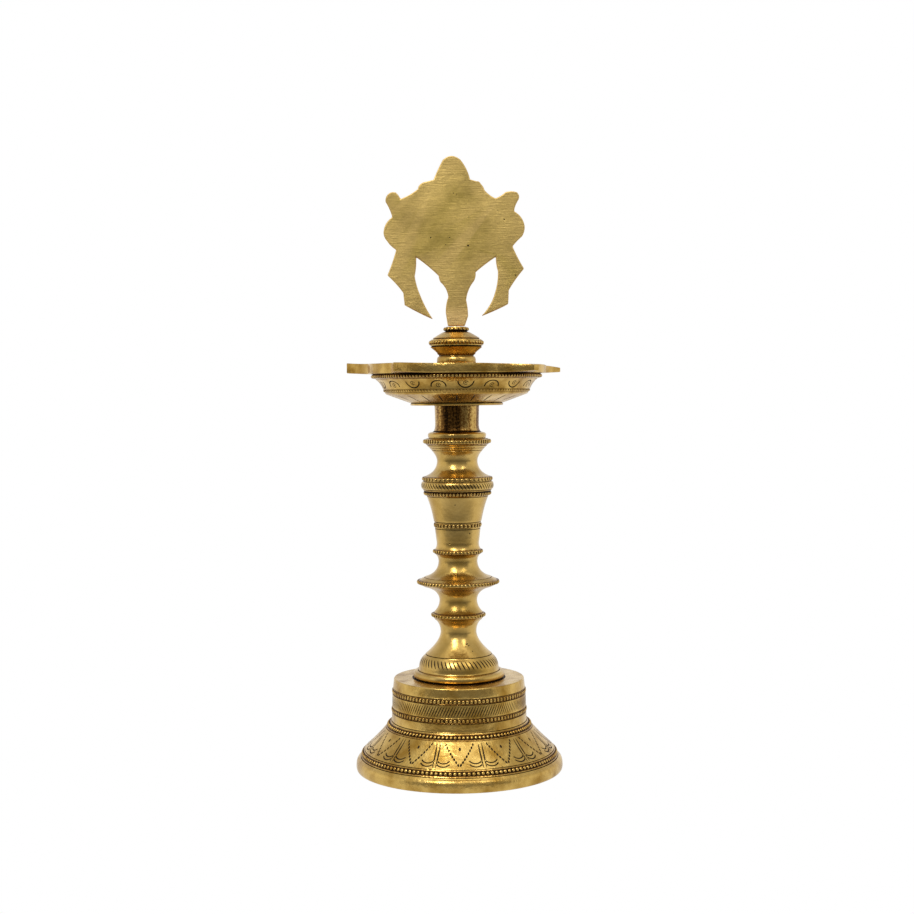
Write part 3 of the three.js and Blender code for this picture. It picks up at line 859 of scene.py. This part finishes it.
def arc_outline(corners):
    """The closed outline's points, each bulged edge drawn in ARC_STEPS short ones."""
    points = []
    for (x, z, bulge), (from_x, from_z, _) in zip(corners, corners[-1:] + corners[:-1]):
        count = ARC_STEPS if bulge else 1
        length = math.hypot(x - from_x, z - from_z)
        for step in range(1, count + 1):
            t = step / count
            out = 4 * bulge * t * (1 - t) / length
            points.append((from_x + (x - from_x) * t - (z - from_z) * out,
                           from_z + (z - from_z) * t + (x - from_x) * out))
    return points


def arris_distance(places, corners):
    """How far each (x, z) lies inside a closed outline, in mm."""
    start = np.array(corners)
    run = np.roll(start, -1, axis=0) - start
    reach = places[:, None, :] - start
    share = np.clip((reach * run).sum(2) / (run ** 2).sum(1), 0, 1)
    return np.hypot(*(reach - share[..., None] * run).transpose(2, 0, 1)).min(1)


# Casting pits in the flat face: across, height and size.
PLATE_PITS = ((7.8, 324.9, 1.2), (-3.6, 330.0, 0.7), (-1.0, 357.6, 0.6), (0.8, 356.9, 0.5),
              (8.4, 342.6, 0.6), (-6.2, 325.6, 0.6), (37.2, 306.2, 0.8), (-15.4, 330.0, 0.8))

# Across, height, length as a share of the shell's radius there, width, and lean: the winding lines
# of the shell and its long mouth.
CONCH_CUTS = ((-3, 345.5, 1.1, 1.0, 64), (-4, 341.5, 1.0, 1.0, 62), (-4.5, 337.5, 0.95, 1.0, 60),
              (-4.5, 333.5, 0.9, 1.0, 58), (-4, 329.5, 0.8, 1.0, 56), (-3, 325.6, 0.75, 0.9, 54),
              (7, 336.0, 1.15, 4.6, -14))
CONCH_FLATNESS = 0.31  # its depth as a share of its width
CONCH_ACROSS = -1.0  # its middle line, from the lamp's axis
CONCH_BACK = 1.4  # its middle plane, behind the plate's own


def make_conch():
    """The conch shell that is carved on the plate's far face: a turned shell, flattened."""
    shell = Outline(0, 314).to(1.4, 314.4).sweep(7.5, 322, 3.5, 316, steps=6)
    shell.sweep(20.5, 340, 16.5, 328, steps=10).sweep(17.5, 349.4, 21.5, 346, steps=6).to(16.4, 349.9)
    for r, z, crown in ((13.2, 353.2, 16.8), (9.6, 356.0, 12.8), (5.8, 358.4, 8.8), (1.6, 360.6, 4.6)):
        shell.ring(r, z, crown + 1, steps=6)
    conch = turned("finial_conch_relief", shell.to(0, 361), 64, longest=4)
    x, y, z = vertices_of(conch).T
    place_vertices(conch, np.stack([x + CONCH_ACROSS * MM, y * CONCH_FLATNESS + CONCH_BACK * MM, z], 1))
    radii, heights = np.array(shell.points).T
    cuts = []
    for across, height, share, width, lean in CONCH_CUTS:
        size = float(np.interp(height, heights, radii))
        cut = gouge(share * size, width, 1.6, lean)
        face = CONCH_FLATNESS * math.sqrt(size ** 2 - across ** 2) + CONCH_BACK
        upright = Matrix(((1, 0, 0, across + CONCH_ACROSS), (0, 0, 1, face), (0, 1, 0, height),
                          (0, 0, 0, 1)))
        cut.data.transform(Matrix.Scale(MM, 4) @ upright)
        cuts.append(cut)
    cutter = joined("cutter", cuts)
    pick(cutter)
    bpy.ops.object.mode_set(mode="EDIT")
    settle("cutter")
    chase(conch, [cutter])
    pick(conch)
    bpy.ops.object.mode_set(mode="EDIT")
    bpy.ops.mesh.select_all(action="SELECT")
    bpy.ops.mesh.bisect(plane_co=(0, 1.3 * MM, 0), plane_no=(0, 1, 0), clear_inner=True,
                        use_fill=True)
    settle("finial_conch_relief")
    write_stain_and_shade(conch, np.zeros(len(conch.data.vertices)))
    return conch


def make_plate():
    half = PLATE_THICKNESS / 2
    outline = arc_outline(PLATE_OUTLINE)
    chain([(x, -half, z) for x, z in outline])
    bpy.ops.mesh.select_all(action="SELECT")
    bpy.ops.mesh.edge_face_add()
    bpy.ops.mesh.extrude_region_move(TRANSFORM_OT_translate={"value": (0, PLATE_THICKNESS * MM, 0)})
    plate = settle("finial_plate_body")
    finish_modifier(plate, "BEVEL", width=1.0 * MM, segments=3, limit_method="ANGLE",
                    angle_limit=math.radians(60))
    holes = []
    for x, z, size in PLATE_PITS:
        hole = gouge(size, size, 0.5)
        hole.data.transform(Matrix.Translation((x * MM, -half * MM, z * MM))
                            @ Matrix.Rotation(math.radians(90), 4, "X") @ Matrix.Scale(MM, 4))
        holes.append(hole)
    chase(plate, holes)
    pick(plate)
    bpy.ops.object.mode_set(mode="EDIT")
    for height in (277, 280, 285, 291):  # cuts across the stem, for its wear to fade over
        bpy.ops.mesh.select_all(action="SELECT")
        bpy.ops.mesh.bisect(plane_co=(0, 0, height * MM), plane_no=(0, 0, 1))
    bpy.ops.object.mode_set(mode="OBJECT")
    conch = make_conch()
    x, _, z = (vertices_of(plate) / MM).T
    inside = arris_distance(np.stack([x, z], 1), outline)
    # a pale band along every edge of the plate: bare metal from wear and a painted highlight
    worn_and_highlit_edge = np.clip(1 - inside / 1.1, 0, 1) * 0.8
    stem = np.clip((291 - z) / 9, 0, 1) * (np.abs(x) < 9)
    rubbed_and_highlit = plate.data.attributes.new("rubbed_and_highlit", "FLOAT", "POINT")
    rubbed_and_highlit.data.foreach_set("value", np.maximum(worn_and_highlit_edge, 0.75 * stem))
    write_stain_and_shade(plate, np.clip((276.5 - z) / 4, 0, 1) * 0.5)
    finished(plate, filed_cast_brass, "finial", "finial_plate")
    finish_modifier(plate, "WEIGHTED_NORMAL", keep_sharp=True)
    finished(conch, polished_cast_brass, "finial", None)


def make_finial():
    line = knob_outline()
    knob = turned("finial_knob_body", line, 144)
    write_stain_and_shade(knob, ring_stain(knob, line))
    finished(knob, polished_cast_brass, "finial", "finial_knob")
    rows = joined("finial_knob_beads", [
        bead_row(line, 16.4, 264.5, 44, 2.3, 2.7, 0.85, lean=34),
        bead_row(line, 7.2, 272.9, 17, 2.5, 2.6, 0.8, lean=40),
        bead_row(line, 11.4, 257.7, 40, 1.1, 1.2, 0.3, lean=0),
    ])
    finished(rows, polished_cast_brass, "finial", None)
    make_plate()


make_foot()
make_lower_pillar()
make_upper_pillar()
make_screws()
make_dish()
make_socket()
make_finial()


# ------------------------------------------------------------------ stage
LAMP_MIDDLE = Vector((0, 0, 0.15))


def softbox(name, place, size, power):
    """A rectangular area light that faces the middle of the lamp."""
    lamp = bpy.data.lights.new(name, "AREA")
    lamp.shape = "RECTANGLE"
    lamp.size, lamp.size_y = size
    lamp.energy = power
    box = bpy.data.objects.new(name, lamp)
    bpy.context.scene.collection.objects.link(box)
    box.location = place
    box.rotation_euler = (LAMP_MIDDLE - Vector(place)).to_track_quat("-Z", "Y").to_euler()


def make_stage():
    """A pale floor, lit from behind: burnt out to white where it is seen, dimmer where mirrored."""
    deselect()
    bpy.ops.mesh.primitive_plane_add(size=6, location=(0, 0, 0))
    floor = bpy.context.object
    floor.name = "floor"
    material = bpy.data.materials.new("white_paper_floor")
    material.use_nodes = True
    tree = material.node_tree
    tree.nodes.clear()
    place = add_node(tree, "ShaderNodeTexCoord").outputs["Object"]
    back = add_node(tree, "ShaderNodeSeparateXYZ", {"Vector": place}).outputs["Y"]
    share = add_node(tree, "ShaderNodeMapRange", {"Value": back, "From Min": -0.6, "From Max": 0.2})
    glow = ramp(tree, share.outputs["Result"], [(0.0, grey(0.16)), (1.0, grey(0.9)), (0.35, grey(0.33)),
                                                (0.56, grey(0.54)), (0.68, grey(0.84))])
    paper = add_node(tree, "ShaderNodeEmission", {"Color": glow})
    burnt = add_node(tree, "ShaderNodeEmission", {"Color": grey(1), "Strength": 1.0})
    seen = add_node(tree, "ShaderNodeLightPath").outputs["Is Camera Ray"]
    mixed = add_node(tree, "ShaderNodeMixShader", {"Fac": seen, 1: paper.outputs[0],
                                                   2: burnt.outputs[0]})
    add_node(tree, "ShaderNodeOutputMaterial", {"Surface": mixed.outputs[0]})
    floor.data.materials.append(material)


def make_world():
    """A white tent beside, behind and over the lamp, and the dim room in front of it. Both are
    mirrored in the brass; seen directly, all of it is white."""
    world = bpy.data.worlds.new("studio")
    bpy.context.scene.world = world
    world.use_nodes = True
    tree = world.node_tree
    background = tree.nodes["Background"]
    way = add_node(tree, "ShaderNodeTexCoord").outputs["Generated"]
    parts = add_node(tree, "ShaderNodeSeparateXYZ", {"Vector": way})

    def fade(axis, start, end):
        node = add_node(tree, "ShaderNodeMapRange", {"Value": parts.outputs[axis], "From Min": start,
                                                     "From Max": end}, interpolation_type="SMOOTHSTEP")
        return node.outputs["Result"]

    room = ramp(tree, fade("Z", 0.0, 0.75), [(0.0, grey(0.24)), (1.0, grey(0.85)), (0.35, grey(0.40))])
    walls = ramp(tree, fade("Z", 0.1, 0.8), [(0.0, grey(0.95)), (1.0, grey(0.62))])
    tent = add_node(tree, "ShaderNodeMix", {"Factor": fade("Y", -0.62, -0.30), "A": room, "B": walls},
                    data_type="RGBA").outputs["Result"]
    lid = add_node(tree, "ShaderNodeMix", {"Factor": fade("Z", 0.80, 0.97), "A": tent, "B": grey(1.5)},
                   data_type="RGBA").outputs["Result"]
    seen = add_node(tree, "ShaderNodeLightPath").outputs["Is Camera Ray"]
    colour = add_node(tree, "ShaderNodeMix", {"Factor": seen, "A": lid, "B": grey(1.0)},
                      data_type="RGBA")
    tree.links.new(colour.outputs["Result"], background.inputs["Color"])


EYE = (0.0002, -0.942, 0.2332)
LENS = 59.5142  # mm, on a sensor 36 mm wide
LENS_SHIFT = -0.0700219  # of the sensor's width
ROLL = math.radians(0.45)


def make_camera():
    """A level camera whose lens is shifted down, so that uprights stay parallel."""
    camera = bpy.data.cameras.new("camera")
    camera.sensor_width = 36
    camera.lens = LENS
    camera.shift_y = LENS_SHIFT
    camera.clip_start = 0.01
    eye = bpy.data.objects.new("camera", camera)
    bpy.context.scene.collection.objects.link(eye)
    eye.location = EYE
    eye.rotation_euler = (math.radians(90), ROLL, 0)
    bpy.context.scene.camera = eye


make_stage()
make_world()
softbox("softbox_left", place=(-0.50, -1.0, 1.35), size=(0.40, 0.9), power=12)
softbox("softbox_right", place=(0.66, -0.92, 1.30), size=(0.30, 0.7), power=2.4)
make_camera()
bpy.context.scene.view_settings.view_transform = "Standard"
